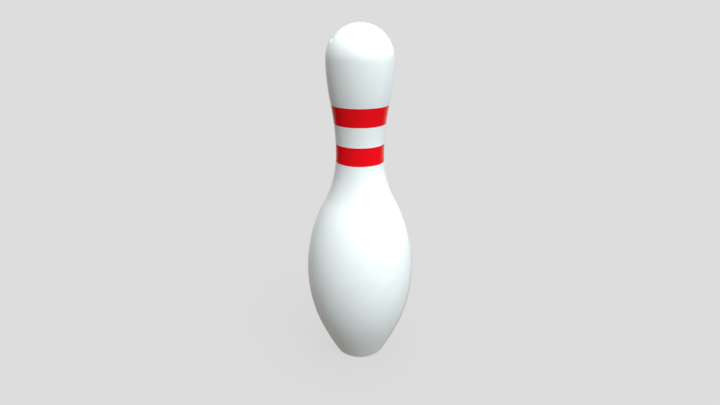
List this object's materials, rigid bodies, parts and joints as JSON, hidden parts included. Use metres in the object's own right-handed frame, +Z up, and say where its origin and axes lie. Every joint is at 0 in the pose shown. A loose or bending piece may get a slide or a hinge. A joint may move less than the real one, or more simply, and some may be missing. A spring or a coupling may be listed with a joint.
{
  "type": "bowling pin",
  "caption": "Ten-pin bowling pin with a glued maple core, a moulded plastic shell, coloured neck stripes and a nailed nylon base insert.",
  "frame": {"origin": "centre of the foot, on the surface that the pin stands on", "axes": "+Z up along the pin's axis of symmetry, from the foot to the crown"},
  "size_m": [0.1224, 0.1224, 0.381],
  "materials": {
    "shell": "white moulded ionomer, high gloss",
    "stripe": "red, gloss under the same clear surface as the shell",
    "core_planks": "rock maple, glued and turned",
    "wing_blocks": "rock maple, glued and turned, a shade darker",
    "base": "moulded nylon, satin",
    "nails": "bright ring-shank steel nail"
  },
  "bodies": {
    "root": {"plastic_shell": "shell", "lower_neck_stripe": "stripe", "upper_neck_stripe": "stripe", "core_plank_left": "core_planks", "core_plank_centre": "core_planks", "core_plank_right": "core_planks", "wing_block_left": "wing_blocks", "wing_block_right": "wing_blocks", "wing_block_front": "wing_blocks", "wing_block_back": "wing_blocks", "base_insert": "base", "base_nail_1": "nails", "base_nail_2": "nails", "base_nail_3": "nails", "base_nail_4": "nails"}
  },
  "joints": []
}
